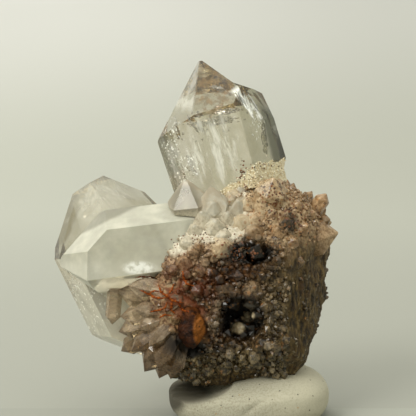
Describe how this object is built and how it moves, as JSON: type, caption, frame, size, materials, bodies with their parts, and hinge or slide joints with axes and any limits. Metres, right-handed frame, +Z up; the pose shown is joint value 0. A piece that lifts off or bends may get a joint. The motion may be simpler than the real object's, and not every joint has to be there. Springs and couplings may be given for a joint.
{
  "type": "mineral specimen",
  "caption": "Smoky quartz scepter cluster: large clear pointed crystals and a fan of small smoky blades on a brown druse over dark rock, resting in the hollow of a pale pebble.",
  "frame": {"origin": "middle of the flat spot on which the pebble rests", "axes": "+Z up, out of the ground towards the tip of the top crystal; +X to the right and +Y to the back of the pictured side"},
  "size_m": [0.0573, 0.0327, 0.071],
  "materials": {
    "pebble": "matt, finely speckled",
    "druse_rock": "rough, sparkling druse over dark rock",
    "clear_quartz": "clear, faintly smoky",
    "milky_quartz": "clear with milky veils",
    "pale_quartz": "cloudy, pale beige",
    "smoky_quartz": "smoky brown, translucent",
    "limonite": "rust-brown, part glossy"
  },
  "bodies": {
    "root": {"rest_stone": "pebble", "matrix": "druse_rock", "top_scepter": "clear_quartz", "left_back_scepter": "clear_quartz", "left_front_crystal": "milky_quartz", "shoulder_crystals": "pale_quartz", "fan_crystals": "smoky_quartz", "iron_nodule": "limonite"}
  },
  "joints": []
}
